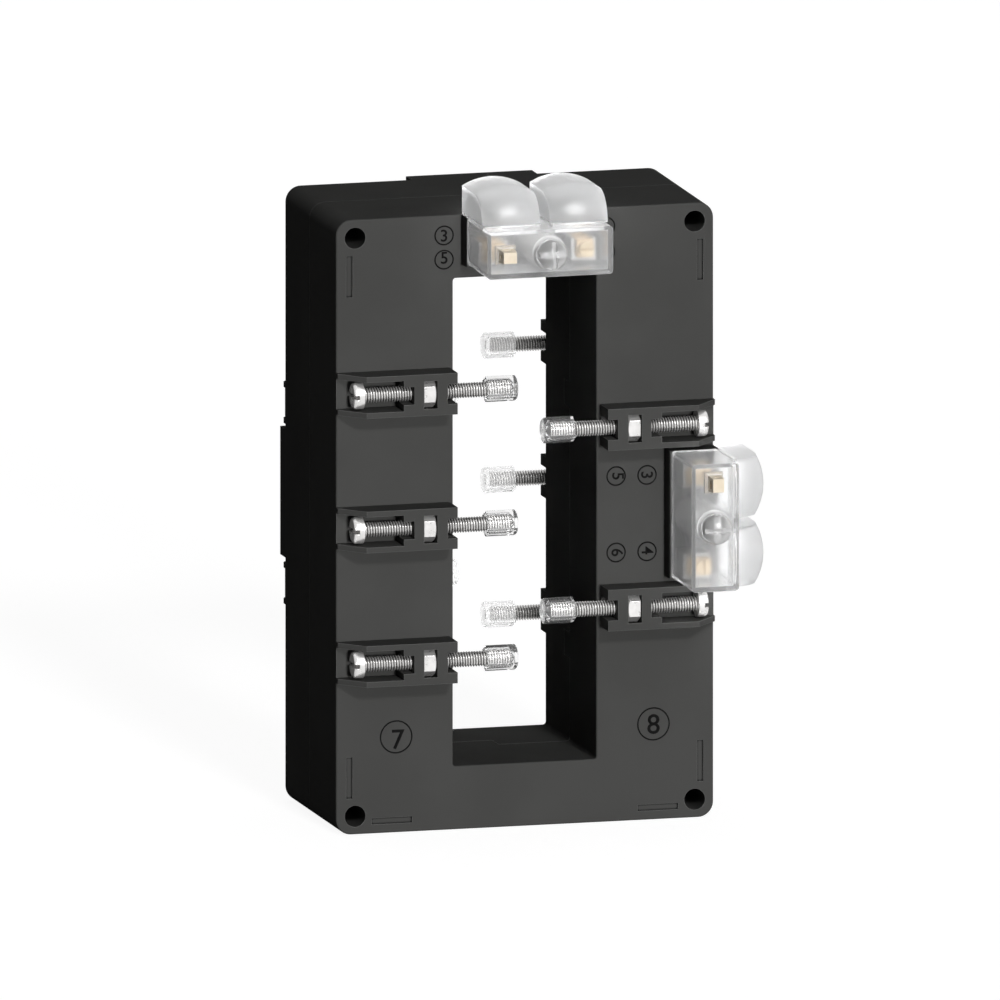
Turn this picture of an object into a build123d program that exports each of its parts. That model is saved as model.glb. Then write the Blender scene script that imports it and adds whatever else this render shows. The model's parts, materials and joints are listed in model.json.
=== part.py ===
from build123d import *
import os
from math import cos, radians, tan
from typing import NamedTuple

# A busbar current transformer. Sizes are in millimetres. X runs across the front, Y from the
# front to the back and Z up. The origin is at the middle of the flat underside.

# Housing: a leg each side of the window and a bar above and below it
window_width = 38.0
window_height = 127.0
leg_width = 31.0
bar_height = 16.5
body_depth = 50.0
window_corner = 0.8
body_corner = 4.0
edge_round = 0.5
wall = 2.0

# Seam between the two half shells, measured back from the front face
seam_depth = 26.0
seam_jog = 6.0
seam_lap = 3.0
lip_thickness = 0.95
outer_seam_gap = 0.05
window_seam_gap = 0.2
tongue_width = 6.5
tongue_length = 5.5
tongue_spacing = 65.0
tongue_drop = 6.0

# Corner fixing holes
corner_hole = 5.5
corner_hole_side_inset = 5.0
corner_hole_end_inset = 4.75
corner_boss = 8.5

# Shallow marks beside the corners
mark_length = 10.7
mark_width = 1.6
mark_depth = 0.5
mark_side_inset = 2.7
mark_foot_inset = 2.4
mark_end_inset = 9.4

# Clamp brackets on the faces, measured from the housing's side towards the window
bracket_height = 10.8
bracket_proud = 8.0
bracket_setback = 0.95
ramp_foot = 1.4
ramp_length = 6.0
channel_height = 7.9
slot_length = 2.8
inner_wall = 2.55
end_wall = 2.75
notch_length = 2.6
notch_height = 5.2
notch_floor = 1.4
lip_depth = 1.0
lip_opening = 7.2
three_clamp_spacing = 35.0
two_clamp_spacing = 47.0

# Clamp screws, M4 with a slotted head
screw_diameter = 4.0
clamp_axis_proud = 4.0
head_setback = 3.1
head_diameter = 7.0
head_height = 2.6
head_round = 0.8
head_slot_width = 1.1
head_slot_depth = 1.2
shank_length = 39.2
tip_chamfer = 0.5
passing_clearance = 0.3
running_clearance = 0.05

# Captive nuts
nut_flats = 7.0
nut_thickness = 3.2
nut_side_play = 0.1
nut_end_play = 0.35
corner_chamfer_angle = 30.0

# Clear caps on the screws' tips
cap_flats = 5.8
cap_length = 8.0
cap_overhang = 1.5
cap_bore_cover = 0.15
drill_half_angle = 59.0

# Terminal pads on the faces
pad_width = 33.4
pad_height = 12.9
pad_proud = 5.0
pad_round = 0.4

# Terminal covers
cover_width = 33.3
cover_height = 12.5
cover_front = 24.9
cover_wall = 1.2
cover_corner = 1.0
cover_gap = 0.15
hood_width = 15.4
hood_side_height = 7.6
hood_crown_height = 9.65
hood_length = 12.0

# Sealing screws, with a retaining ring in a groove of the shank
seal_drop = 6.4
seal_head_diameter = 8.2
seal_head_rim = 1.4
seal_shank = 4.0
seal_thread_depth = 6.0
seal_slot_width = 1.2
seal_slot_depth = 2.0
seal_wire_hole = 1.5
seal_wire_height = 2.4
seal_travel = 5.6
ring_thickness = 1.0
ring_outer = 6.0
ring_groove = 3.0

# Sealing lugs in the covers' front plates
lug_offset = 11.6
lug_width = 4.0
lug_height = 3.4
lug_taper = 0.25
lug_proud = 3.8
lug_slot = 2.0
lug_flange = 0.7
lug_flange_depth = 0.8
lug_wire_hole = 1.3
lug_fit = 0.1

# Terminals and the pale holder round them
terminal_offset = 11.7
terminal_drop = 7.3
terminal_width = 4.4
terminal_height = 4.7
terminal_length = 9.0
terminal_screw = 3.0
terminal_head = 4.0
terminal_head_height = 1.8
terminal_slot_width = 0.7
terminal_slot_depth = 0.9
wire_hole = 2.8
wire_hole_back = 3.0
tail_diameter = 1.8
holder_base = 1.2
cup_wall = 0.9
cup_length = 7.5
post_diameter = 9.0
post_bore = 6.6
post_mouth = 3.6
holder_clearance = 0.15

# Core, trays and windings
core_face_space = 11.0
core_corner = 3.0
tray_wall = 1.0
tray_clearance = 0.1
tray_seat = 0.3
layer_thickness = 1.6
layer_count = 3
layer_step = 3.0
winding_length = 100.0
winding_clearance = 0.2
wrap_thickness = 0.5
wrap_margin = 4.0
core_rib_height = 3.5
core_rib_thickness = 1.5
core_rib_spacing = 50.0

# Leads
lead_diameter = 1.6
lead_bend = 4.0
lead_overlap = 10.0
lead_clearance = 0.02
side_lead_shift = 4.5

# Derived places
body_width = window_width + 2 * leg_width
body_height = window_height + 2 * bar_height
front_y = -body_depth / 2
mid_height = body_height / 2
seam_y = front_y + seam_depth
bracket_length = leg_width - bracket_setback
pocket_length = nut_thickness + nut_end_play
pocket_start = bracket_length - notch_length - end_wall - pocket_length
channel_end = pocket_start - inner_wall - slot_length
tip_x = head_setback + head_height + shank_length
cover_back = pad_proud + cover_gap
holder_top = cover_back + holder_base
terminal_front = holder_top + terminal_length
seal_start = cover_front + 0.1
tray_band = bar_height - 2 * wall - 2 * tray_seat
core_build = tray_band - 2 * (tray_wall + tray_clearance)
leg_centre = body_width / 2 - leg_width / 2
bar_centre = bar_height / 2
core_depth = body_depth - 2 * wall - 2 * core_face_space
tray_depth = core_depth + 2 * (tray_wall + tray_clearance)
winding_build = layer_count * layer_thickness
winding_front = tray_depth / 2 + winding_clearance + winding_build + wrap_thickness
lead_y = -(winding_front + lead_clearance + lead_diameter / 2)
tail_reach = lead_y - lead_diameter / 2 - lead_clearance - front_y


class Station(NamedTuple):
    """One clamp: its name, side of the housing, face (-1 front, 1 rear) and height."""

    name: str
    side: int
    face: int
    height: float

    def place(self):
        """Location that carries a piece drawn for the front left clamp to this one."""
        turn = {(-1, -1): (0, 0, 0), (1, -1): (0, 180, 0), (1, 1): (0, 0, 180), (-1, 1): (180, 0, 0)}
        corner = (self.side * body_width / 2, self.face * body_depth / 2, self.height)
        return Location(corner, turn[self.side, self.face])


def clamp_stations():
    """Three clamps on one leg and two on the other; the rear ones are turned half round."""
    three = (("top", three_clamp_spacing), ("middle", 0.0), ("bottom", -three_clamp_spacing))
    two = (("top", two_clamp_spacing / 2), ("bottom", -two_clamp_spacing / 2))
    legs = (("front_left", -1, -1, three), ("front_right", 1, -1, two),
            ("rear_right", 1, 1, three), ("rear_left", -1, 1, two))
    return [Station(f"{leg}_{level}", side, face, mid_height + rise)
            for leg, side, face, levels in legs for level, rise in levels]


stations = clamp_stations()
terminal_units = {
    "top": Location((0, front_y, body_height)),
    "side": Location((body_width / 2, front_y, mid_height), (0, 90, 0)),
}


def block(x0, x1, y0, y1, z0, z1):
    """Box between two corners."""
    size = Box(x1 - x0, y1 - y0, z1 - z0)
    return Pos((x0 + x1) / 2, (y0 + y1) / 2, (z0 + z1) / 2) * size


def slab(outline, y0, y1):
    """Solid of an outline drawn in x and z, from y0 back to y1."""
    return extrude(Plane.XZ.offset(-y1) * outline, amount=y1 - y0)


def rod_x(diameter, x0, x1, y=0.0, z=0.0):
    """Round bar along X."""
    bar = Cylinder(diameter / 2, x1 - x0, align=(Align.CENTER, Align.CENTER, Align.MIN))
    return Pos(x0, y, z) * Rot(0, 90, 0) * bar


def rod_y(diameter, y0, y1, x=0.0, z=0.0):
    """Round bar along Y."""
    return slab(Pos(x, z) * Circle(diameter / 2), y0, y1)


def hexagon_x(flats, x0, x1, y=0.0):
    """Hexagonal bar along X with corners up and down."""
    corner_radius = flats / 2 / cos(radians(30))
    outline = RegularPolygon(corner_radius, 6, rotation=30)
    return Pos(0, y, 0) * extrude(Plane.YZ.offset(x0) * outline, amount=x1 - x0)


def chamfer_cone(flats, x0, x1, y=0.0):
    """Turned form that takes a hexagonal bar's corners off at its end x1."""
    corner_radius = flats / 2 / cos(radians(30))
    drop = (corner_radius - flats / 2) * tan(radians(corner_chamfer_angle))
    profile = Polyline((x0, 0), (x0, corner_radius + 1), (x1 - drop, corner_radius), (x1, flats / 2),
                       (x1, 0), close=True)
    return Pos(0, y, 0) * revolve(make_face(profile), Axis.X)


def housing_outline(inset):
    """Outline of the housing, moved in by a distance."""
    corner = max(body_corner - inset, 0.5)
    shape = RectangleRounded(body_width - 2 * inset, body_height - 2 * inset, corner)
    return Pos(0, mid_height) * shape


def window_outline(grow):
    """Outline of the window, moved out by a distance."""
    shape = RectangleRounded(window_width + 2 * grow, window_height + 2 * grow, window_corner + grow)
    return Pos(0, mid_height) * shape


def window_halves(left_y, right_y, face, middle=0.0):
    """Region on one face's side of the stepped seam in the window."""
    reach = body_width
    end = face * body_depth
    halves = []
    for x0, x1, y in ((-reach, middle, left_y), (middle, reach, right_y)):
        halves.append(block(x0, x1, min(y, end), max(y, end), -reach, body_height + reach))
    return halves[0] + halves[1]


def seam_tongues(grow):
    """Tongues of the front shell that bridge the seam in the window's side walls."""
    half = tongue_width / 2 + grow
    tongues = []
    for side, start in ((-1, seam_y + seam_jog), (1, seam_y)):
        for rise in (-tongue_spacing / 2, tongue_spacing / 2):
            height = mid_height - tongue_drop + rise
            inner = side * (window_width / 2 - grow)
            outer = side * (window_width / 2 + lip_thickness + grow)
            tongues.append(block(min(inner, outer), max(inner, outer), start - 1,
                                 start + tongue_length + grow, height - half, height + half))
    return Part() + tongues


def window_wall(face):
    """Wall round the window, lapped at the stepped seam with the other shell's wall."""
    full = window_outline(wall) - window_outline(0)
    right = seam_y
    left = seam_y + seam_jog
    gap = window_seam_gap
    if face < 0:
        whole = slab(full, front_y + wall, left) & window_halves(left - seam_lap, right - seam_lap, face)
        lip = window_outline(lip_thickness) - window_outline(0)
        reach = window_halves(left, right, face) + seam_tongues(0)
        return whole + (slab(lip, front_y + wall, left + tongue_length) & reach)
    whole = slab(full, right, -front_y - wall) & window_halves(left + gap, right + gap, face, gap)
    whole -= seam_tongues(gap)
    lip = window_outline(wall) - window_outline(wall - lip_thickness)
    reach = window_halves(left - seam_lap + gap, right - seam_lap + gap, face, gap)
    return whole + (slab(lip, right - seam_lap, -front_y - wall) & reach)


def outer_wall(face):
    """Side walls of a half shell, with a lap at the seam that shows no step outside."""
    ring = housing_outline(0) - housing_outline(wall)
    if face < 0:
        return slab(ring, front_y + wall, seam_y)
    inner_lip = housing_outline(wall - lip_thickness) - housing_outline(wall)
    start = seam_y + outer_seam_gap
    return slab(ring, start, -front_y - wall) + slab(inner_lip, start - seam_lap, start)


def lap_groove():
    """Groove in the front shell's walls and bosses that takes the rear shell's lip."""
    ring = housing_outline(lip_thickness) - housing_outline(2 * wall - 2 * lip_thickness)
    return slab(ring, seam_y - seam_lap, seam_y + 1)


def face_plate(face):
    """Flat face of a half shell with its window and rounded edges."""
    outside = face * body_depth / 2
    inside = outside - face * wall
    plate = slab(housing_outline(0) - window_outline(0), min(outside, inside), max(outside, inside))
    rim = plate.edges().group_by(Axis.Y)[0 if face < 0 else -1]
    return fillet(rim, edge_round)


def corner_holes(diameter, y0, y1):
    """Round bars at the four corner fixing points."""
    bars = []
    side = body_width / 2 - corner_hole_side_inset
    for x in (-side, side):
        for z in (corner_hole_end_inset, body_height - corner_hole_end_inset):
            bars.append(rod_y(diameter, y0, y1, x, z))
    return Part() + bars


def core_ribs(face):
    """Short ribs on the window wall that hold the core trays off the face."""
    inside = face * (body_depth / 2 - wall)
    stop = face * (tray_depth / 2 + tray_seat)
    ribs = []
    for x in (-core_rib_spacing / 2, core_rib_spacing / 2):
        for side in (-1, 1):
            foot = mid_height + side * (window_height / 2 + wall - 0.5)
            top = foot + side * core_rib_height
            half = core_rib_thickness / 2
            ribs.append(block(x - half, x + half, min(inside, stop), max(inside, stop),
                              min(foot, top), max(foot, top)))
    return Part() + ribs


def clamp_bracket():
    """Bracket with a ramped channel for the screw's head, a nut pocket and an open end notch."""
    side_view = Polyline((0, 0), (0, -ramp_foot), (ramp_length, -bracket_proud),
                         (bracket_length, -bracket_proud), (bracket_length, 0), close=True)
    body = extrude(make_face(side_view), amount=bracket_height / 2, both=True)
    front = -bracket_proud - 1
    passage = screw_diameter + 2 * passing_clearance
    half_channel = channel_height / 2
    body -= block(-1, channel_end, front, 1, -half_channel, half_channel)
    body -= rod_x(passage, channel_end - 1, bracket_length + 1, -clamp_axis_proud)
    body -= block(channel_end - 1, channel_end + slot_length, front, -clamp_axis_proud,
                  -passage / 2, passage / 2)
    pocket_floor = clamp_axis_proud - nut_flats / 2 - nut_side_play
    half_pocket = nut_flats / 2 / cos(radians(30)) + nut_side_play
    pocket_end = pocket_start + pocket_length
    body -= block(pocket_start, pocket_end, -bracket_proud + lip_depth, -pocket_floor,
                  -half_pocket, half_pocket)
    body -= block(pocket_start, pocket_end, front, -pocket_floor, -lip_opening / 2, lip_opening / 2)
    body -= block(bracket_length - notch_length, bracket_length + 1, front, -notch_floor,
                  -notch_height / 2, notch_height / 2)
    return body


def bracket_foot():
    """Squared stretch of the housing's rounded edge that a bracket stands on."""
    return block(0, 2 * edge_round, 0, wall / 2, -bracket_height / 2, bracket_height / 2)


def terminal_pad():
    """Raised pad under a terminal unit, drawn at the housing's top edge."""
    half = pad_width / 2
    pad = block(-half, half, -pad_proud, wall / 2, -pad_height, 0)
    return fillet(pad.edges().group_by(Axis.Y)[0], pad_round)


def pad_holes():
    """Holes through a pad and the face for the terminals' tails and the sealing screw."""
    through = wall + 1
    tails = [rod_y(tail_diameter + 2 * lug_fit, -pad_proud - 1, through, x, -terminal_drop)
             for x in (-terminal_offset, terminal_offset)]
    screw_hole = rod_y(seal_shank + 2 * running_clearance, -pad_proud - 1,
                       seal_thread_depth - pad_proud + passing_clearance, 0, -seal_drop)
    return Part() + tails + screw_hole


def corner_marks():
    """Shallow marks beside the corners of the front face."""
    y0 = front_y - 1
    y1 = front_y + mark_depth
    marks = []
    for side in (-1, 1):
        x = side * (body_width / 2 - mark_side_inset - mark_width / 2)
        for start in (mark_end_inset, body_height - mark_end_inset - mark_length):
            marks.append(block(x - mark_width / 2, x + mark_width / 2, y0, y1, start, start + mark_length))
        x = side * (body_width / 2 - mark_end_inset - mark_length / 2)
        marks.append(block(x - mark_length / 2, x + mark_length / 2, y0, y1,
                           mark_foot_inset, mark_foot_inset + mark_width))
    return Part() + marks


def half_shell(face):
    """One half of the housing: face plate, walls, bosses, ribs, bracket feet and terminal pads."""
    shell = face_plate(face) + outer_wall(face) + window_wall(face) + core_ribs(face)
    inside = face * (body_depth / 2 - wall / 2)
    seam = seam_y if face < 0 else seam_y + outer_seam_gap
    shell += corner_holes(corner_boss, min(inside, seam), max(inside, seam))
    shell += [s.place() * bracket_foot() for s in stations if s.face == face]
    turn = Rot(0, 0, 0 if face < 0 else 180)
    shell += [turn * place * terminal_pad() for place in terminal_units.values()]
    shell -= corner_holes(corner_hole, -body_depth, body_depth)
    if face < 0:
        shell -= lap_groove()
        shell -= corner_marks()
        shell -= [place * pad_holes() for place in terminal_units.values()]
    return shell


def clamp_screw():
    """Slotted clamp screw along X with its head near the housing's side."""
    y = -clamp_axis_proud
    head_end = head_setback + head_height
    head = rod_x(head_diameter, head_setback, head_end, y)
    head = fillet(head.edges().sort_by(Axis.X)[0], head_round)
    shank = rod_x(screw_diameter, head_end, tip_x, y)
    shank = chamfer(shank.edges().sort_by(Axis.X)[-1], tip_chamfer)
    half_slot = head_slot_width / 2
    slot = block(head_setback - 1, head_setback + head_slot_depth, y - head_diameter, y + head_diameter,
                 -half_slot, half_slot)
    return head + shank - slot


def clamp_cap():
    """Clear hexagonal cap that covers the screw's tip; its bore ends in a drill cone."""
    y = -clamp_axis_proud
    end = tip_x + cap_overhang
    start = end - cap_length
    body = hexagon_x(cap_flats, start, end, y) & chamfer_cone(cap_flats, start - 1, end, y)
    bore_radius = screw_diameter / 2 + running_clearance
    bore_end = tip_x - cap_bore_cover
    apex = bore_radius / tan(radians(drill_half_angle))
    cone = Cone(bore_radius, 0, apex, align=(Align.CENTER, Align.CENTER, Align.MIN))
    bore = rod_x(2 * bore_radius, start - 1, bore_end, y) + Pos(bore_end, y, 0) * Rot(0, 90, 0) * cone
    return body - bore


def clamp_nut():
    """Captive hexagonal nut in the bracket's pocket."""
    start = pocket_start + nut_end_play / 2
    y = -clamp_axis_proud
    end = start + nut_thickness
    bore = screw_diameter + 2 * running_clearance
    body = hexagon_x(nut_flats, start, end, y) & chamfer_cone(nut_flats, start - 1, end, y)
    return body - rod_x(bore, start - 1, end + 1, y)


def hood_section(inset):
    """Arched section of one cable hood, standing on z = 0."""
    half = hood_width / 2 - inset
    side = hood_side_height - inset
    crown = hood_crown_height - inset
    arch = ThreePointArc((-half, side), (0, crown), (half, side))
    legs = Polyline((half, side), (half, 0), (-half, 0), (-half, side))
    return make_face(arch + legs)


def hood_form(inset, start):
    """Solid of one cable hood: it runs forward from a start, then bends down to the plate's ledge."""
    section = hood_section(inset)
    run = extrude(Plane.XZ.offset(start) * section, amount=hood_length - start)
    bend = revolve(Plane.XZ.offset(hood_length) * section, Axis((0, -hood_length, 0), (1, 0, 0)), 90)
    return run + bend


def terminal_cover():
    """Clear cover: a box over the terminals with two cable hoods that are open at the back."""
    half = cover_width / 2
    outline = Pos(0, -cover_height / 2) * RectangleRounded(cover_width, cover_height, cover_corner)
    cover = slab(outline, -cover_front, -cover_back)
    hood_x = half - hood_width / 2
    hoods = [Pos(x, 0, 0) * hood_form(0, 0) for x in (-hood_x, hood_x)]
    cover += hoods
    inner = half - cover_wall
    cover -= block(-inner, inner, -cover_front + cover_wall, -cover_back + 1,
                   -cover_height + cover_wall, -cover_wall)
    throat = hood_length + hood_side_height - cover_wall
    for x in (-hood_x, hood_x):
        inner_half = hood_width / 2 - cover_wall
        cover -= Pos(x, 0, 0) * hood_form(cover_wall, -1)
        cover -= block(x - inner_half, x + inner_half, -throat, 1, -cover_wall - 1, 0.01)
    cover -= block(-half - 1, half + 1, -cover_back, 1, -cover_height, cover_gap)
    cover -= rod_y(seal_shank + 2 * passing_clearance, -cover_front - 1, -cover_back, 0, -seal_drop)
    return cover - lug_core(lug_fit, cover_front + 1)


def lug_core(grow, front):
    """Stem of the sealing lug where it passes the cover's front plate."""
    half_x = lug_width / 2 + grow
    half_z = lug_height / 2 + grow
    back = cover_front - cover_wall - lug_flange_depth
    return block(-lug_offset - half_x, -lug_offset + half_x, -front, -back,
                 -seal_drop - half_z, -seal_drop + half_z)


def sealing_lug():
    """Lug with a flange behind the plate and crossed holes for a sealing wire."""
    back = cover_front - cover_wall - lug_flange_depth - lug_fit
    flange_front = back + lug_flange_depth
    half_x = lug_width / 2
    half_z = lug_height / 2
    centre = Pos(-lug_offset, -seal_drop)
    stem = slab(centre * Rectangle(lug_width, lug_height), -cover_front, -flange_front)
    root = Plane.XZ.offset(cover_front) * centre * Rectangle(lug_width, lug_height)
    end = Rectangle(lug_width - 2 * lug_taper, lug_height - 2 * lug_taper)
    tip = Plane.XZ.offset(cover_front + lug_proud) * centre * end
    head = loft([root.face(), tip.face()])
    flange = slab(centre * Rectangle(lug_width + 2 * lug_flange, lug_height + 2 * lug_flange),
                  -flange_front, -back)
    middle = cover_front + lug_proud / 2
    half_hole = lug_wire_hole / 2
    eye = block(-lug_offset - lug_slot / 2, -lug_offset + lug_slot / 2, -middle - half_hole,
                -middle + half_hole, -seal_drop - half_z - 1, -seal_drop + half_z + 1)
    cross = rod_x(lug_wire_hole, -lug_offset - half_x - 1, -lug_offset + half_x + 1, -middle, -seal_drop)
    return stem + head + flange - eye - cross


def seal_screw():
    """Clear sealing screw with a domed head, a driver slot, a wire hole and a ring groove."""
    radius = seal_head_diameter / 2
    rim_front = seal_start + seal_head_rim
    head = rod_y(seal_head_diameter, -rim_front, -seal_start, 0, -seal_drop)
    dome = Pos(0, -rim_front, -seal_drop) * Sphere(radius)
    head += dome & rod_y(seal_head_diameter + 1, -rim_front - radius - 1, -rim_front, 0, -seal_drop)
    shank_end = pad_proud - seal_thread_depth
    screw = head + rod_y(seal_shank, -seal_start, -shank_end, 0, -seal_drop)
    groove_front = -ring_place()
    groove_back = groove_front + ring_thickness + 2 * running_clearance
    groove = rod_y(seal_shank + 1, groove_front, groove_back, 0, -seal_drop)
    groove -= rod_y(ring_groove, groove_front, groove_back, 0, -seal_drop)
    top = rim_front + radius
    slot = block(-seal_slot_width / 2, seal_slot_width / 2, -top - 1, -top + seal_slot_depth,
                 -seal_drop - radius, -seal_drop + radius)
    wire = rod_x(seal_wire_hole, -radius - 1, radius + 1, -seal_start - seal_wire_height, -seal_drop)
    return screw - groove - slot - wire


def ring_place():
    """Distance of the ring groove's front from the face; undone, the ring comes up to the plate."""
    return cover_front - cover_wall - seal_travel - passing_clearance


def retaining_ring():
    """Ring in the sealing screw's groove that keeps the screw in its cover."""
    front = -ring_place() + running_clearance
    back = front + ring_thickness
    bore = ring_groove + 2 * running_clearance
    return rod_y(ring_outer, front, back, 0, -seal_drop) - rod_y(bore, front - 1, back + 1, 0, -seal_drop)


def terminal():
    """Brass terminal: a block with a wire hole, a screw hole and a tail through the housing."""
    half = terminal_width / 2
    high = terminal_height / 2
    body = block(-half, half, -terminal_front, -holder_top, -high, high)
    body = fillet(body.edges().filter_by(Axis.Y), 0.4)
    wire_y = -holder_top - wire_hole_back
    body -= Pos(0, wire_y, 0) * Cylinder(wire_hole / 2, terminal_height + 2)
    body -= rod_y(terminal_screw + 2 * running_clearance, -terminal_front - 1, wire_y)
    body += rod_y(tail_diameter, -holder_top, tail_reach)
    return body


def terminal_fastener():
    """Slotted screw in the front of a terminal."""
    start = holder_top + wire_hole_back + wire_hole / 2
    gap = 2 * running_clearance
    head_front = terminal_front + gap + terminal_head_height
    shank = rod_y(terminal_screw, -terminal_front - gap, -start)
    head = rod_y(terminal_head, -head_front, -terminal_front - gap)
    half = terminal_slot_width / 2
    slot_end = -head_front + terminal_slot_depth
    slot = block(-terminal_head, terminal_head, -head_front - 1, slot_end, -half, half)
    return shank + head - slot


def terminal_holder():
    """Pale holder: a base on the pad, a cup round each terminal and a C-shaped screw post."""
    half = cover_width / 2 - cover_wall - holder_clearance
    low = -cover_height + cover_wall + holder_clearance
    high = -cover_wall - holder_clearance
    holder = block(-half, half, -holder_top, -cover_back, low, high)
    cup_front = holder_top + cup_length
    fit = holder_clearance
    for x in (-terminal_offset, terminal_offset):
        wide = terminal_width / 2 + fit
        tall = terminal_height / 2 + fit
        base = -terminal_drop - tall
        cup = block(x - wide - cup_wall, x + wide + cup_wall, -cup_front, -holder_top,
                    max(base - cup_wall, low), -terminal_drop + tall)
        cup -= block(x - wide, x + wide, -cup_front - 1, -holder_top, base, high + 1)
        holder += cup
        holder -= rod_y(tail_diameter + 2 * lug_fit, -holder_top - 1, 0, x, -terminal_drop)
    post_front = cover_front - cover_wall - holder_clearance
    post = rod_y(post_diameter, -post_front, -holder_top, 0, -seal_drop)
    post -= block(0, post_diameter, -post_front - 1, -holder_top, -seal_drop - post_mouth / 2,
                  -seal_drop + post_mouth / 2)
    return holder + post - rod_y(post_bore, -post_front - 1, 0, 0, -seal_drop)


def ring_outline(grow_out, grow_in):
    """Rectangular ring of the core, with its outside and inside moved by distances."""
    width = 2 * leg_centre
    height = body_height - 2 * bar_centre
    outside = RectangleRounded(width + core_build + 2 * grow_out, height + core_build + 2 * grow_out,
                               core_corner + core_build + grow_out)
    inside = RectangleRounded(width - core_build - 2 * grow_in, height - core_build - 2 * grow_in,
                              core_corner)
    return Pos(0, mid_height) * (outside - inside)


def core():
    """Core of wound steel strip."""
    return slab(ring_outline(0, 0), -core_depth / 2, core_depth / 2)


def core_tray(face):
    """Insulating tray that closes over one half of the core."""
    grow = tray_wall + tray_clearance
    end = face * tray_depth / 2
    shape = slab(ring_outline(grow, grow), min(0, end), max(0, end))
    hollow_end = face * (core_depth / 2 + tray_clearance)
    hollow = slab(ring_outline(tray_clearance, tray_clearance), min(0, hollow_end), max(0, hollow_end))
    return shape - hollow


def leg_tube(grow, thickness, length):
    """Rounded tube round one leg of the core, about the leg's own axis."""
    inner_x = tray_band + 2 * (winding_clearance + grow)
    inner_y = tray_depth + 2 * (winding_clearance + grow)
    corner = 0.5 + grow
    outline = RectangleRounded(inner_x + 2 * thickness, inner_y + 2 * thickness, corner + thickness)
    outline -= RectangleRounded(inner_x, inner_y, corner)
    return Pos(0, 0, mid_height - length / 2) * extrude(outline, amount=length)


def winding(side):
    """Secondary winding on one leg, each layer shorter than the one below."""
    layers = [leg_tube(i * layer_thickness, layer_thickness, winding_length - 2 * i * layer_step)
              for i in range(layer_count)]
    return Pos(side * leg_centre, 0, 0) * (Part() + layers)


def winding_wrap(side):
    """Tape round one winding."""
    outer_layer = winding_length - 2 * (layer_count - 1) * layer_step
    wrap = leg_tube(winding_build, wrap_thickness, outer_layer - 2 * wrap_margin)
    return Pos(side * leg_centre, 0, 0) * wrap


def lead(points):
    """Insulated lead along straight runs in front of the windings."""
    path = FilletPolyline(*[(x, lead_y, z) for x, z in points], radius=lead_bend)
    return sweep(Plane(path @ 0, z_dir=path % 0) * Circle(lead_diameter / 2), path=path)


def winding_leads():
    """Leads from the windings to the terminals, and the link between the windings."""
    outer_half = winding_length / 2 - (layer_count - 1) * layer_step - wrap_margin
    top = mid_height + outer_half - lead_overlap
    foot = mid_height - outer_half + lead_overlap
    terminal_z = body_height - terminal_drop
    side_x = body_width / 2 - terminal_drop
    inner_x = side_x - side_lead_shift
    upper = mid_height + terminal_offset
    lower = mid_height - terminal_offset
    first, leg = terminal_offset, leg_centre
    return {
        "top_left_lead": lead([(-first, terminal_z), (-leg, terminal_z), (-leg, top)]),
        "top_right_lead": lead([(first, terminal_z), (leg, terminal_z), (leg, top)]),
        "side_upper_lead": lead([(side_x, upper), (inner_x, upper), (inner_x, upper + lead_overlap)]),
        "side_lower_lead": lead([(side_x, lower), (inner_x, lower), (inner_x, lower - lead_overlap)]),
        "winding_link": lead([(-leg, foot), (-leg, bar_centre), (leg, bar_centre), (leg, foot)]),
    }


def terminal_unit_pieces(unit, place):
    """Named pieces of one terminal unit."""
    first, second = ("left", "right") if unit == "top" else ("upper", "lower")
    left = place * Pos(-terminal_offset, 0, -terminal_drop)
    right = place * Pos(terminal_offset, 0, -terminal_drop)
    return {
        f"{unit}_cover": place * terminal_cover(),
        f"{unit}_seal_lug": place * sealing_lug(),
        f"{unit}_seal_screw": place * seal_screw(),
        f"{unit}_retaining_ring": place * retaining_ring(),
        f"{unit}_terminal_holder": place * terminal_holder(),
        f"{unit}_{first}_terminal": left * terminal(),
        f"{unit}_{second}_terminal": right * terminal(),
        f"{unit}_terminal_screws": Compound([left * terminal_fastener(), right * terminal_fastener()]),
    }


def all_pieces():
    """Every named piece of the transformer."""
    pieces = {
        "front_shell": half_shell(-1),
        "rear_shell": half_shell(1),
        "front_brackets": Compound([s.place() * clamp_bracket() for s in stations if s.face < 0]),
        "rear_brackets": Compound([s.place() * clamp_bracket() for s in stations if s.face > 0]),
        "core": core(),
        "front_core_tray": core_tray(-1),
        "rear_core_tray": core_tray(1),
        "left_winding": winding(-1),
        "right_winding": winding(1),
        "left_winding_wrap": winding_wrap(-1),
        "right_winding_wrap": winding_wrap(1),
        "clamp_nuts": Compound([s.place() * clamp_nut() for s in stations]),
    }
    pieces.update(winding_leads())
    for unit, place in terminal_units.items():
        pieces.update(terminal_unit_pieces(unit, place))
    for station in stations:
        pieces[f"clamp_screw_{station.name}"] = station.place() * clamp_screw()
        pieces[f"clamp_cap_{station.name}"] = station.place() * clamp_cap()
    return pieces


os.makedirs("parts", exist_ok=True)
for node, piece in all_pieces().items():
    export_step(piece, f"parts/{node}.step")
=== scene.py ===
"""Looks of a busbar current transformer: finishes, threads, face markings, light and camera."""

import json
import logging
import math
from dataclasses import dataclass
from enum import Enum
from functools import cache
from typing import Iterable

import bmesh
import bpy
from bpy.types import Node, NodeSocket, NodeTree, Object
from mathutils import Matrix, Vector

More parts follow.
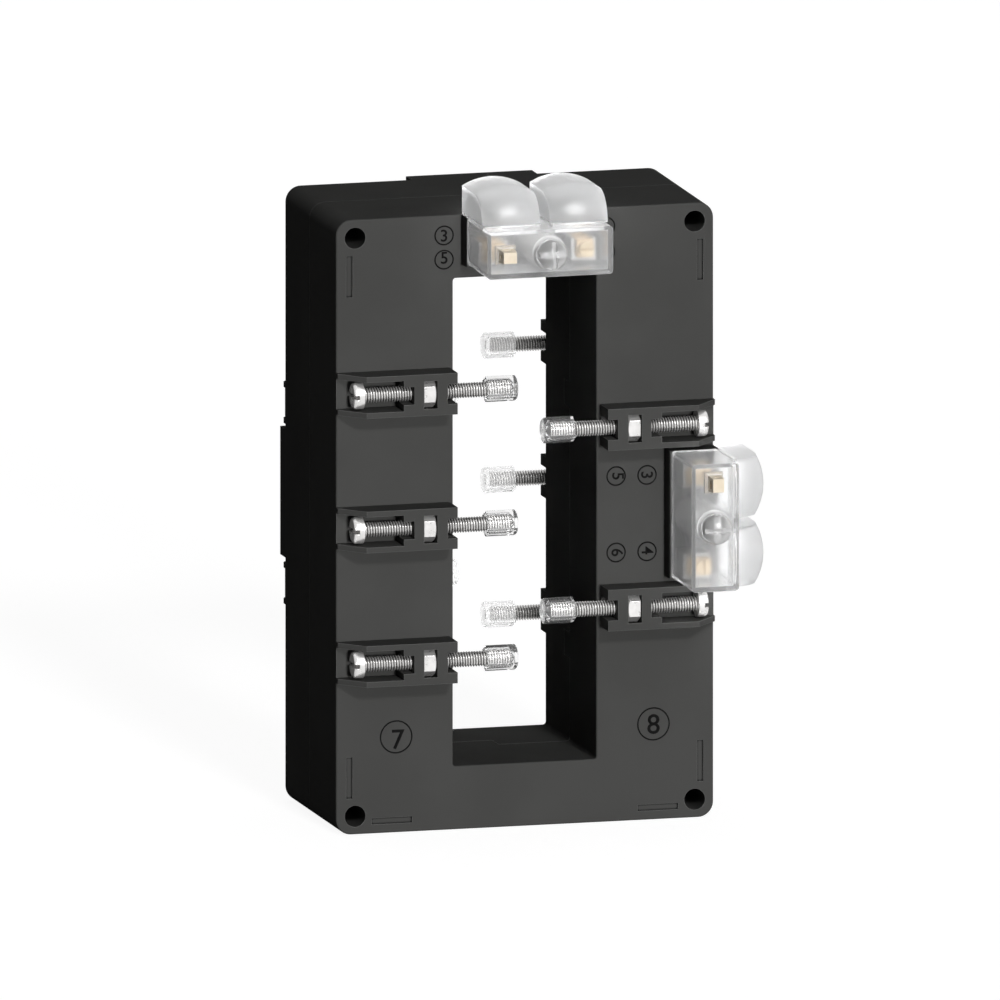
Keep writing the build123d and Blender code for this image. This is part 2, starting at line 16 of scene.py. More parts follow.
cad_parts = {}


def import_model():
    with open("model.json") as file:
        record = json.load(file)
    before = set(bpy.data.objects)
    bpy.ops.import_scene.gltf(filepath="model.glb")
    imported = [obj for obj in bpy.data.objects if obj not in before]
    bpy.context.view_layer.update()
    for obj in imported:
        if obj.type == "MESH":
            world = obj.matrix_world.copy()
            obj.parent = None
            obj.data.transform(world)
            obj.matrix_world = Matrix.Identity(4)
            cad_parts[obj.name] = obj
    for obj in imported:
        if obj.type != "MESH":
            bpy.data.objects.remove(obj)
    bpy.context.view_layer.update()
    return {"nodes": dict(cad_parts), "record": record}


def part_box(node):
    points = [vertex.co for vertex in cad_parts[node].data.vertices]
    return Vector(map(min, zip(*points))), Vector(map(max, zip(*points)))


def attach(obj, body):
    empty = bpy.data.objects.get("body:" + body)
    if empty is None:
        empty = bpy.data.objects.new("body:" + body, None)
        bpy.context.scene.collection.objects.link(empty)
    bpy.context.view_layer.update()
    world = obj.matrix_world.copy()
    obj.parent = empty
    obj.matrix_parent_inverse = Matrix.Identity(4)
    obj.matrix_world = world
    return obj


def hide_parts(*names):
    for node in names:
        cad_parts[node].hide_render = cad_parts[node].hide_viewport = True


log = logging.getLogger("transformer")

Rgb = tuple[float, float, float]
Span = tuple[float, float]
Sockets = dict[str, str]
MM = 0.001
SMOOTH_ANGLE = math.radians(32)
WELD = 1e-7
ON_PLANE = 1e-6
# Mesh attribute that marks the thread's grooves for painted shade.
GROOVE = "groove"
SCREW_NODE = "clamp_screw_"
FACE_Y = -25.0 * MM
HOLDER_BASE_Y = -31.5 * MM
COVER_FRONT_Y = -49.9 * MM


class Slot(str, Enum):
    """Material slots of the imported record."""

    HOUSING = "black_housing"
    COVER = "clear_cover"
    CAP = "clear_cap"
    PALE = "pale_plastic"
    ZINC = "zinc_steel"
    BRASS = "pale_brass"
    CORE = "core_steel"
    TRAY = "tray_plastic"
    COPPER = "winding_copper"
    TAPE = "winding_tape"
    SLEEVE = "lead_sleeve"


class Look(Enum):
    """Finishes of the scene; several may share one of the record's slots."""

    HOUSING = "housing"
    MARK = "mark"
    COVER = "cover"
    SEAL = "seal"
    CAP = "cap"
    HAZY_CAP = "hazy_cap"
    MILKY = "milky"
    LUG = "lug"
    ZINC = "zinc"
    THREAD = "thread"
    YELLOW_ZINC = "yellow_zinc"
    BRASS = "brass"
    CORE = "core"
    TRAY = "tray"
    COPPER = "copper"
    TAPE = "tape"
    SLEEVE = "sleeve"


class Sheet:
    """One node tree, with short calls to add its nodes and join them."""

    ROW = 8
    STEP_RIGHT = 220
    STEP_DOWN = -260

    def __init__(self, tree: NodeTree) -> None:
        """Start on an empty tree.

        Args:
            tree: The node tree to fill.
        """
        self.tree = tree
        self.count = 0
        tree.nodes.clear()

    def add(self, kind: str, **settings: object) -> Node:
        """Add a node.

        Args:
            kind: Blender's name of the node type.
            settings: Properties of the node to set.

        Returns:
            The new node.
        """
        node = self.tree.nodes.new(kind)
        node.location = (self.STEP_RIGHT * (self.count % self.ROW),
                         self.STEP_DOWN * (self.count // self.ROW))
        self.count += 1
        for name, value in settings.items():
            setattr(node, name, value)
        return node

    def join(self, source: NodeSocket, target: NodeSocket) -> None:
        """Link two sockets."""
        self.tree.links.new(source, target)

    def feed(self, value: object, target: NodeSocket) -> None:
        """Give a socket a link or a plain value.

        Args:
            value: A socket to link, or a number, vector or colour to set.
            target: The input socket.
        """
        if isinstance(value, NodeSocket):
            self.join(value, target)
        else:
            target.default_value = value

    def use(self, group: NodeTree, **inputs: object) -> Node:
        """Add a shared group.

        Args:
            group: The group's tree.
            inputs: Values of its inputs by name, sockets or plain values.

        Returns:
            The group's node.
        """
        node = self.add("ShaderNodeGroup", node_tree=group)
        for name, value in inputs.items():
            self.feed(value, node.inputs[name])
        return node

    def axes(self, place: Node) -> bpy.types.bpy_prop_collection:
        """X, Y and Z in the object's own coordinates."""
        split = self.add("ShaderNodeSeparateXYZ")
        self.join(place.outputs["Object"], split.inputs[0])
        return split.outputs

    def sum(self, operation: str, *values: object, clamp: bool = False) -> NodeSocket:
        """Work out one Math node.

        Args:
            operation: Blender's name of the operation.
            values: Its inputs, sockets or numbers.
            clamp: Whether the result stays between 0 and 1.

        Returns:
            The result socket.
        """
        node = self.add("ShaderNodeMath", operation=operation, use_clamp=clamp)
        for value, target in zip(values, node.inputs):
            self.feed(value, target)
        return node.outputs[0]

    def between(self, low: object, high: object, mask: object) -> NodeSocket:
        """Number that runs from low to high with a mask.

        Args:
            low: Number at mask 0.
            high: Number at mask 1.
            mask: Socket or number from 0 to 1.

        Returns:
            The mixed number.
        """
        node = self.add("ShaderNodeMix", data_type="FLOAT")
        for value, target in zip((mask, low, high), node.inputs[:1] + node.inputs[2:4]):
            self.feed(value, target)
        return node.outputs[0]

    def blend(self, low: object, high: object, mask: object) -> NodeSocket:
        """Colour that runs from low to high with a mask.

        Args:
            low: Colour at mask 0.
            high: Colour at mask 1.
            mask: Socket or number from 0 to 1.

        Returns:
            The mixed colour.
        """
        node = self.add("ShaderNodeMix", data_type="RGBA")
        for value, target in zip((mask, low, high), node.inputs[:1] + node.inputs[6:8]):
            self.feed((*value, 1.0) if isinstance(value, tuple) else value, target)
        return node.outputs[2]


class Groups:
    """Node groups that several materials share, each built once."""

    CLOUD_DETAIL = 3.0
    CLOUD_SPAN: Span = (0.32, 0.68)
    GRAIN_DETAIL = 2.0
    CELL_SHARE = 0.35
    RIM_SAMPLES = 6
    CREASE_SAMPLES = 8
    OPEN_FROM = 0.92
    CREASE_GAIN = 2.4

    @staticmethod
    def start(name: str, inputs: Sockets, outputs: Sockets) -> tuple[Sheet, Node, Node]:
        """Begin a group with named sockets.

        Args:
            name: Name of the group.
            inputs: Socket name to socket type.
            outputs: Socket name to socket type.

        Returns:
            The sheet, its input node and its output node.
        """
        tree = bpy.data.node_groups.new(name, "ShaderNodeTree")
        for socket, kind in inputs.items():
            tree.interface.new_socket(socket, in_out="INPUT", socket_type=kind)
        for socket, kind in outputs.items():
            tree.interface.new_socket(socket, in_out="OUTPUT", socket_type=kind)
        sheet = Sheet(tree)
        return sheet, sheet.add("NodeGroupInput"), sheet.add("NodeGroupOutput")

    @staticmethod
    @cache
    def patches() -> NodeTree:
        """Soft cloudy mask, as where a moulding cooled unevenly.

        Returns:
            The node group.
        """
        sheet, given, result = Groups.start(
            "patches", {"Vector": "NodeSocketVector", "Size": "NodeSocketFloat"},
            {"Mask": "NodeSocketFloat"})
        noise = sheet.add("ShaderNodeTexNoise")
        noise.inputs["Detail"].default_value = Groups.CLOUD_DETAIL
        sheet.join(given.outputs["Vector"], noise.inputs["Vector"])
        sheet.join(sheet.sum("DIVIDE", 1.0, given.outputs["Size"]), noise.inputs["Scale"])
        level = sheet.add("ShaderNodeMapRange", interpolation_type="SMOOTHSTEP")
        level.inputs["From Min"].default_value = Groups.CLOUD_SPAN[0]
        level.inputs["From Max"].default_value = Groups.CLOUD_SPAN[1]
        sheet.join(noise.outputs["Fac"], level.inputs["Value"])
        sheet.join(level.outputs["Result"], result.inputs["Mask"])
        return sheet.tree

    @staticmethod
    @cache
    def grain() -> NodeTree:
        """Fine even roughness of a mould face or a plated surface.

        Returns:
            The node group.
        """
        sheet, given, result = Groups.start(
            "grain", {"Vector": "NodeSocketVector", "Size": "NodeSocketFloat"},
            {"Height": "NodeSocketFloat"})
        scale = sheet.sum("DIVIDE", 1.0, given.outputs["Size"])
        fine = sheet.add("ShaderNodeTexNoise")
        fine.inputs["Detail"].default_value = Groups.GRAIN_DETAIL
        cells = sheet.add("ShaderNodeTexVoronoi", feature="SMOOTH_F1")
        for node in (fine, cells):
            sheet.join(given.outputs["Vector"], node.inputs["Vector"])
            sheet.join(scale, node.inputs["Scale"])
        height = sheet.between(fine.outputs["Fac"], cells.outputs["Distance"], Groups.CELL_SHARE)
        sheet.join(height, result.inputs["Height"])
        return sheet.tree

    @staticmethod
    @cache
    def rims() -> NodeTree:
        """Mask that is bright along edges, for a painted highlight and a coat there, and a normal
        that rounds them.

        Returns:
            The node group.
        """
        sheet, given, result = Groups.start(
            "rims", {"Gain": "NodeSocketFloat", "Radius": "NodeSocketFloat"},
            {"Mask": "NodeSocketFloat", "Normal": "NodeSocketVector"})
        bevel = sheet.add("ShaderNodeBevel", samples=Groups.RIM_SAMPLES)
        surface = sheet.add("ShaderNodeNewGeometry")
        sheet.join(given.outputs["Radius"], bevel.inputs["Radius"])
        dot = sheet.add("ShaderNodeVectorMath", operation="DOT_PRODUCT")
        sheet.join(bevel.outputs["Normal"], dot.inputs[0])
        sheet.join(surface.outputs["Normal"], dot.inputs[1])
        sheet.join(bevel.outputs["Normal"], result.inputs["Normal"])
        away = sheet.sum("SUBTRACT", 1.0, dot.outputs["Value"], clamp=True)
        mask = sheet.sum("MULTIPLY", away, given.outputs["Gain"], clamp=True)
        sheet.join(mask, result.inputs["Mask"])
        return sheet.tree

    @staticmethod
    @cache
    def creases() -> NodeTree:
        """Mask of painted shade, bright in grooves and inner corners.

        Returns:
            The node group.
        """
        sheet, given, result = Groups.start(
            "creases", {"Reach": "NodeSocketFloat"}, {"Mask": "NodeSocketFloat"})
        near = sheet.add("ShaderNodeAmbientOcclusion", only_local=True)
        near.samples = Groups.CREASE_SAMPLES
        sheet.join(given.outputs["Reach"], near.inputs["Distance"])
        closed = sheet.sum("SUBTRACT", Groups.OPEN_FROM, near.outputs["AO"], clamp=True)
        mask = sheet.sum("MULTIPLY", closed, Groups.CREASE_GAIN, clamp=True)
        sheet.join(mask, result.inputs["Mask"])
        return sheet.tree

    @staticmethod
    @cache
    def turns() -> NodeTree:
        """Rounded ridges at a pitch, as of wire laid side by side or strip seen on edge.

        Returns:
            The node group.
        """
        sheet, given, result = Groups.start(
            "turns", {"Place": "NodeSocketFloat", "Pitch": "NodeSocketFloat"},
            {"Ridge": "NodeSocketFloat"})
        count = sheet.sum("DIVIDE", given.outputs["Place"], given.outputs["Pitch"])
        share = sheet.sum("FRACT", count)
        offset = sheet.sum("SUBTRACT", sheet.sum("MULTIPLY", share, 2.0), 1.0)
        drop = sheet.sum("MULTIPLY", offset, offset)
        ridge = sheet.sum("SQRT", sheet.sum("SUBTRACT", 1.0, drop, clamp=True))
        sheet.join(ridge, result.inputs["Ridge"])
        return sheet.tree


@dataclass(frozen=True)
class RimLook:
    """How a finish looks along its edges: how round they are, and how far a painted highlight
    colour and a coat cover them.
    """

    radius: float
    # Painted highlight colour that the edges turn towards, by the highlight gain.
    colour: Rgb = (1.0, 1.0, 1.0)
    gain: float = 0.0
    coat_ior: float = 0.0
    coat_roughness: float = 0.1


@dataclass(frozen=True)
class Finish:
    """A finish of two close tones with a grain, perhaps softened edges with a painted highlight,
    and perhaps creases with painted shade.
    """

    name: str
    slot: Slot
    tone: Rgb
    second_tone: Rgb
    roughness: Span
    patch: float = 18 * MM
    grain: float = 0.35 * MM
    grain_depth: float = 0.01 * MM
    specular: float = 0.5
    ior: float = 1.5
    metallic: float = 0.0
    transmission: float = 0.0
    casts_shadow: bool = True
    rim: RimLook | None = None
    # Reach and tone of painted shade in grooves and inner corners; a reach of 0 paints none.
    crease_shade_reach: float = 0.0
    crease_shade_tone: Rgb = (0.012, 0.012, 0.012)

    def colour(self, sheet: Sheet, place: Node, mask: NodeSocket) -> NodeSocket:
        """Colour over the surface.

        Args:
            sheet: The material's sheet.
            place: Texture Coordinate node.
            mask: Cloudy mask from 0 to 1.

        Returns:
            The colour socket.
        """
        return sheet.blend(self.tone, self.second_tone, mask)

    def height(self, sheet: Sheet, place: Node) -> NodeSocket:
        """Height over the surface, from 0 to about 1.

        Args:
            sheet: The material's sheet.
            place: Texture Coordinate node.

        Returns:
            The height socket.
        """
        grain = sheet.use(Groups.grain(), Vector=place.outputs["Object"], Size=self.grain)
        return grain.outputs["Height"]

    def dullness(self, sheet: Sheet, place: Node, mask: NodeSocket) -> NodeSocket:
        """Roughness that varies with the cloudy mask.

        Args:
            sheet: The material's sheet.
            place: Texture Coordinate node.
            mask: Cloudy mask from 0 to 1.

        Returns:
            The roughness socket.
        """
        return sheet.between(*self.roughness, mask)

    def material(self) -> bpy.types.Material:
        """Build the finish.

        Returns:
            The material.
        """
        material = bpy.data.materials.new(self.name)
        material.use_nodes = True
        sheet = Sheet(material.node_tree)
        place = sheet.add("ShaderNodeTexCoord")
        shader = sheet.add("ShaderNodeBsdfPrincipled")
        output = sheet.add("ShaderNodeOutputMaterial")
        sheet.join(shader.outputs["BSDF"], output.inputs["Surface"])
        patches = sheet.use(Groups.patches(), Vector=place.outputs["Object"], Size=self.patch)
        mask = patches.outputs["Mask"]
        colour = self.colour(sheet, place, mask)
        bump = sheet.add("ShaderNodeBump")
        if self.rim:
            rims = sheet.use(Groups.rims(), Gain=self.rim.gain, Radius=self.rim.radius).outputs
            # Painted highlight: the colour turns towards the rim colour along edges.
            colour = sheet.blend(colour, self.rim.colour, rims["Mask"])
            sheet.join(rims["Normal"], bump.inputs["Normal"])
            if self.rim.coat_ior:
                sheet.join(rims["Mask"], shader.inputs["Coat Weight"])
                shader.inputs["Coat IOR"].default_value = self.rim.coat_ior
                shader.inputs["Coat Roughness"].default_value = self.rim.coat_roughness
        if self.crease_shade_reach:
            # Painted shade: the colour turns dark in grooves and inner corners.
            creases = sheet.use(Groups.creases(), Reach=self.crease_shade_reach)
            colour = sheet.blend(colour, self.crease_shade_tone, creases.outputs["Mask"])
        sheet.join(colour, shader.inputs["Base Color"])
        sheet.join(self.dullness(sheet, place, mask), shader.inputs["Roughness"])
        sheet.join(self.height(sheet, place), bump.inputs["Height"])
        sheet.join(bump.outputs["Normal"], shader.inputs["Normal"])
        bump.inputs["Strength"].default_value = 1.0
        bump.inputs["Distance"].default_value = self.grain_depth
        shader.inputs["Metallic"].default_value = self.metallic
        shader.inputs["IOR"].default_value = self.ior
        shader.inputs["Specular IOR Level"].default_value = self.specular
        shader.inputs["Transmission Weight"].default_value = self.transmission
        return material


@dataclass(frozen=True)
class PartFrosted(Finish):
    """A clear finish, frosted where the piece stands past the housing's top or right side."""

    frosted: Span = (0.38, 0.44)
    top: float = 160.4 * MM
    right: float = 50.4 * MM
    fade: float = 0.8 * MM

    def dullness(self, sheet: Sheet, place: Node, mask: NodeSocket) -> NodeSocket:
        """Roughness that rises past the housing's top or right side.

        Args:
            sheet: The material's sheet.
            place: Texture Coordinate node.
            mask: Cloudy mask from 0 to 1.

        Returns:
            The roughness socket.
        """
        axes = sheet.axes(place)
        above = sheet.sum("SUBTRACT", axes["Z"], self.top)
        beside = sheet.sum("SUBTRACT", axes["X"], self.right)
        past = sheet.sum("MULTIPLY", sheet.sum("MAXIMUM", above, beside), 1 / self.fade, clamp=True)
        clear = sheet.between(*self.roughness, mask)
        return sheet.between(clear, sheet.between(*self.frosted, mask), past)


@dataclass(frozen=True)
class ShadedBehindPlane(Finish):
    """A pale piece with painted shade behind a plane, where a clear plate or the housing is near.
    """

    # Tone of the painted shade behind the plane.
    shade_tone: Rgb = (0.10, 0.10, 0.10)
    plane: float = HOLDER_BASE_Y
    fade: float = 0.1 * MM

    def colour(self, sheet: Sheet, place: Node, mask: NodeSocket) -> NodeSocket:
        """Colour that turns to painted shade behind the plane.

        Args:
            sheet: The material's sheet.
            place: Texture Coordinate node.
            mask: Cloudy mask from 0 to 1.

        Returns:
            The colour socket.
        """
        behind = sheet.sum("SUBTRACT", sheet.axes(place)["Y"], self.plane)
        behind = sheet.sum("MULTIPLY", behind, 1 / self.fade, clamp=True)
        return sheet.blend(sheet.blend(self.tone, self.second_tone, mask), self.shade_tone, behind)


@dataclass(frozen=True)
class Threaded(Finish):
    """A finish with painted shade where the mesh is marked as the groove of a thread."""

    # Tone of the painted shade in the grooves.
    groove: Rgb = (0.06, 0.057, 0.054)

    def colour(self, sheet: Sheet, place: Node, mask: NodeSocket) -> NodeSocket:
        """Colour with painted shade in the grooves.

        Args:
            sheet: The material's sheet.
            place: Texture Coordinate node.
            mask: Cloudy mask from 0 to 1.

        Returns:
            The colour socket.
        """
        mark = sheet.add("ShaderNodeAttribute", attribute_name=GROOVE).outputs["Fac"]
        return sheet.blend(sheet.blend(self.tone, self.second_tone, mask), self.groove, mark)


@dataclass(frozen=True)
class Wound(Finish):
    """A finish of turns laid side by side up the object, with painted shade in the grooves between
    them.
    """

    pitch: float = 0.8 * MM
    slant: float = 0.0
    # Share of the tone left in the painted shade between turns.
    groove_shade_share: float = 0.35

    def ridge(self, sheet: Sheet, place: Node) -> NodeSocket:
        """Ridge of the turns, from 0 in a groove to 1 on a turn.

        Args:
            sheet: The material's sheet.
            place: Texture Coordinate node.

        Returns:
            The ridge socket.
        """
        axes = sheet.axes(place)
        lean = sheet.sum("MULTIPLY", sheet.sum("ADD", axes["X"], axes["Y"]), self.slant)
        counted = sheet.sum("ADD", axes["Z"], lean)
        return sheet.use(Groups.turns(), Place=counted, Pitch=self.pitch).outputs["Ridge"]

    def colour(self, sheet: Sheet, place: Node, mask: NodeSocket) -> NodeSocket:
        """Colour with painted shade in the grooves between turns.

        Args:
            sheet: The material's sheet.
            place: Texture Coordinate node.
            mask: Cloudy mask from 0 to 1.

        Returns:
            The colour socket.
        """
        top = sheet.blend(self.tone, self.second_tone, mask)
        groove = tuple(self.groove_shade_share * part for part in self.tone)
        return sheet.blend(groove, top, self.ridge(sheet, place))

    def height(self, sheet: Sheet, place: Node) -> NodeSocket:
        """Height of the turns.

        Args:
            sheet: The material's sheet.
            place: Texture Coordinate node.

        Returns:
            The height socket.
        """
        return self.ridge(sheet, place)


@dataclass(frozen=True)
class StripWound(Wound):
    """Steel strip wound into a rectangular ring, seen on its edges."""

    half_width: float = 30 * MM
    half_height: float = 68 * MM
    middle: float = 80 * MM

    def ridge(self, sheet: Sheet, place: Node) -> NodeSocket:
        """Ridge of the strip's edges, nested round the window.

        Args:
            sheet: The material's sheet.
            place: Texture Coordinate node.

        Returns:
            The ridge socket.
        """
        axes = sheet.axes(place)
        across = sheet.sum("SUBTRACT", sheet.sum("ABSOLUTE", axes["X"]), self.half_width)
        rise = sheet.sum("ABSOLUTE", sheet.sum("SUBTRACT", axes["Z"], self.middle))
        counted = sheet.sum("MAXIMUM", across, sheet.sum("SUBTRACT", rise, self.half_height))
        return sheet.use(Groups.turns(), Place=counted, Pitch=self.pitch).outputs["Ridge"]


ZINC_TONES: tuple[Rgb, Rgb] = ((0.74, 0.73, 0.72), (0.84, 0.83, 0.82))
FINISHES: dict[Look, Finish] = {
    Look.HOUSING: Finish(
        "satin_black", Slot.HOUSING, (0.062, 0.062, 0.060), (0.069, 0.069, 0.067), (0.50, 0.62),
        patch=30 * MM, grain=0.45 * MM, grain_depth=0.006 * MM, specular=0.0,
        # Painted highlight along the edges and painted shade in the creases.
        rim=RimLook(0.3 * MM, (0.21, 0.21, 0.208), 3.2), crease_shade_reach=0.6 * MM),
    # The moulded rings and numerals are the housing's own plastic; this near-black tone is painted
    # shade of their relief.
    Look.MARK: Finish(
        "mark_black", Slot.HOUSING, (0.008, 0.008, 0.008), (0.012, 0.012, 0.012), (0.35, 0.45),
        patch=4 * MM, grain_depth=0.004 * MM, specular=0.0),
    Look.COVER: PartFrosted(
        "hazy_clear", Slot.COVER, (0.95, 0.955, 0.96), (0.98, 0.98, 0.985), (0.18, 0.24),
        patch=9 * MM, grain=1.6 * MM, grain_depth=0.008 * MM, specular=0.9, ior=1.46,
        transmission=0.935, casts_shadow=False,
        # Painted highlight: the edges turn white, with a coat there.
        rim=RimLook(0.25 * MM, gain=4.0, coat_ior=3.6)),
    Look.SEAL: Finish(
        "clear_dome", Slot.CAP, (0.93, 0.93, 0.93), (0.97, 0.97, 0.97), (0.12, 0.18), patch=3 * MM,
        grain=0.9 * MM, grain_depth=0.006 * MM, specular=0.8, ior=1.46, transmission=0.70,
        rim=RimLook(0.3 * MM)),
    Look.CAP: Finish(
        "clear_moulding", Slot.CAP, (0.97, 0.97, 0.97), (1.0, 1.0, 1.0), (0.0, 0.03), patch=3 * MM,
        grain=0.9 * MM, grain_depth=0.002 * MM, ior=1.44, transmission=0.95, casts_shadow=False,
        rim=RimLook(0.10 * MM)),
    Look.HAZY_CAP: Finish(
        "hazy_moulding", Slot.CAP, (0.97, 0.97, 0.97), (1.0, 1.0, 1.0), (0.03, 0.07), patch=3 * MM,
        grain=0.9 * MM, grain_depth=0.003 * MM, ior=1.12, transmission=0.82, casts_shadow=False,
        rim=RimLook(0.3 * MM)),
    # Holder tones written dark as painted shade under the clear cover, which casts no shadow;
    # darker still behind the base plane.
    Look.MILKY: ShadedBehindPlane(
        "milky_moulding", Slot.PALE, (0.30, 0.30, 0.295), (0.36, 0.36, 0.355), (0.40, 0.50),
        patch=4 * MM, grain_depth=0.008 * MM, rim=RimLook(0.15 * MM)),
    Look.LUG: ShadedBehindPlane(
        "beige_brass", Slot.BRASS, (0.84, 0.73, 0.57), (0.89, 0.79, 0.64), (0.45, 0.55),
        patch=3 * MM, grain=0.25 * MM, grain_depth=0.006 * MM, specular=0.2,
        # Painted shade on the lug behind the cover's front plane.
        shade_tone=(0.18, 0.155, 0.12), plane=COVER_FRONT_Y, rim=RimLook(0.12 * MM)),
    Look.ZINC: Finish(
        "zinc_plate", Slot.ZINC, *ZINC_TONES, (0.26, 0.38), patch=2.5 * MM, grain=0.18 * MM,
        grain_depth=0.004 * MM, metallic=0.6, rim=RimLook(0.2 * MM)),
    # Tones written about 0.6 of the plating's, as painted shade under the clear cover, which casts
    # no shadow.
    Look.YELLOW_ZINC: Finish(
        "yellow_zinc", Slot.ZINC, (0.45, 0.35, 0.23), (0.50, 0.41, 0.28), (0.30, 0.42),
        patch=2.5 * MM, grain=0.18 * MM, grain_depth=0.004 * MM, metallic=0.4,
        rim=RimLook(0.1 * MM)),
    Look.THREAD: Threaded(
        "zinc_thread", Slot.ZINC, *ZINC_TONES, (0.20, 0.30), patch=2.5 * MM, grain=0.18 * MM,
        grain_depth=0.004 * MM, metallic=0.6),
    # Tones written about half as bright as the brass, as painted shade under the clear cover, which
    # casts no shadow.
    Look.BRASS: Finish(
        "pale_brass", Slot.BRASS, (0.42, 0.32, 0.21), (0.47, 0.37, 0.26), (0.38, 0.50),
        patch=2.5 * MM, grain=0.25 * MM, grain_depth=0.006 * MM, specular=0.3,
        rim=RimLook(0.15 * MM)),
    Look.TRAY: Finish(
        "tray_moulding", Slot.TRAY, (0.34, 0.35, 0.34), (0.40, 0.41, 0.40), (0.50, 0.62),
        patch=14 * MM, specular=0.3),
    Look.SLEEVE: Finish(
        "lead_sleeve", Slot.SLEEVE, (0.05, 0.055, 0.07), (0.07, 0.075, 0.09), (0.42, 0.52),
        patch=5 * MM, grain_depth=0.015 * MM, specular=0.35),
    Look.COPPER: Wound(
        "enamelled_copper", Slot.COPPER, (0.55, 0.21, 0.09), (0.66, 0.28, 0.13), (0.22, 0.34),
        metallic=0.75, grain_depth=0.20 * MM, pitch=0.8 * MM),
    Look.TAPE: Wound(
        "polyester_tape", Slot.TAPE, (0.72, 0.55, 0.12), (0.80, 0.63, 0.20), (0.18, 0.30),
        patch=12 * MM, grain_depth=0.05 * MM, pitch=9 * MM, slant=0.12),
    Look.CORE: StripWound(
        "wound_strip", Slot.CORE, (0.38, 0.39, 0.41), (0.46, 0.47, 0.49), (0.30, 0.42),
        metallic=1.0, grain_depth=0.08 * MM, pitch=0.5 * MM),
}
SLOT_LOOKS: dict[Slot, Look] = {
    Slot.HOUSING: Look.HOUSING, Slot.COVER: Look.COVER, Slot.CAP: Look.CAP, Slot.PALE: Look.MILKY,
    Slot.ZINC: Look.ZINC, Slot.BRASS: Look.BRASS, Slot.CORE: Look.CORE, Slot.TRAY: Look.TRAY,
    Slot.COPPER: Look.COPPER, Slot.TAPE: Look.TAPE, Slot.SLEEVE: Look.SLEEVE,
}
PIECE_LOOKS: dict[str, Look] = {
    "seal_lug": Look.LUG, "seal_screw": Look.SEAL, "clamp_cap_rear": Look.HAZY_CAP,
    "terminal_screws": Look.YELLOW_ZINC}


class Wardrobe:
    """Keeps one material for each finish and puts it on pieces."""

    def __init__(self) -> None:
        """Build every finish."""
        self.materials = {look: finish.material() for look, finish in FINISHES.items()}

    def dress(self, piece: Object, look: Look) -> None:
        """Give a piece its finish.

        Args:
            piece: The object to dress.
            look: Its finish.
        """
        piece.data.materials.clear()
        piece.data.materials.append(self.materials[look])
        piece.visible_shadow = FINISHES[look].casts_shadow


def publish(name: str, mesh_work: bmesh.types.BMesh, smooth: bool = True) -> Object:
    """Turn finished mesh work into an object at the origin.

    Args:
        name: Name of the piece.
        mesh_work: The bmesh, which is freed.
        smooth: Whether gentle angles are shaded smooth.

    Returns:
        The new object.
    """
    mesh = bpy.data.meshes.new(name)
    bmesh.ops.recalc_face_normals(mesh_work, faces=mesh_work.faces)
    mesh_work.to_mesh(mesh)
    mesh_work.free()
    if smooth:
        mesh.shade_smooth()
        mesh.set_sharp_from_angle(angle=SMOOTH_ANGLE)
    piece = bpy.data.objects.new(name, mesh)
    bpy.context.scene.collection.objects.link(piece)
    return piece


def cut_and_close(mesh_work: bmesh.types.BMesh, point: Vector, outward: Vector) -> None:
    """Take off what lies past a plane and close the cut.

    Args:
        mesh_work: The bmesh to cut.
        point: A point on the plane.
        outward: Direction of the part that goes.
    """
    geometry = [*mesh_work.verts, *mesh_work.edges, *mesh_work.faces]
    bmesh.ops.bisect_plane(mesh_work, geom=geometry, dist=WELD, plane_co=point, plane_no=outward,
                           clear_outer=True)
    rim = [edge for edge in mesh_work.edges if edge.is_boundary
           and all(abs((vert.co - point).dot(outward)) < ON_PLANE for vert in edge.verts)]
    bmesh.ops.edgeloop_fill(mesh_work, edges=rim)


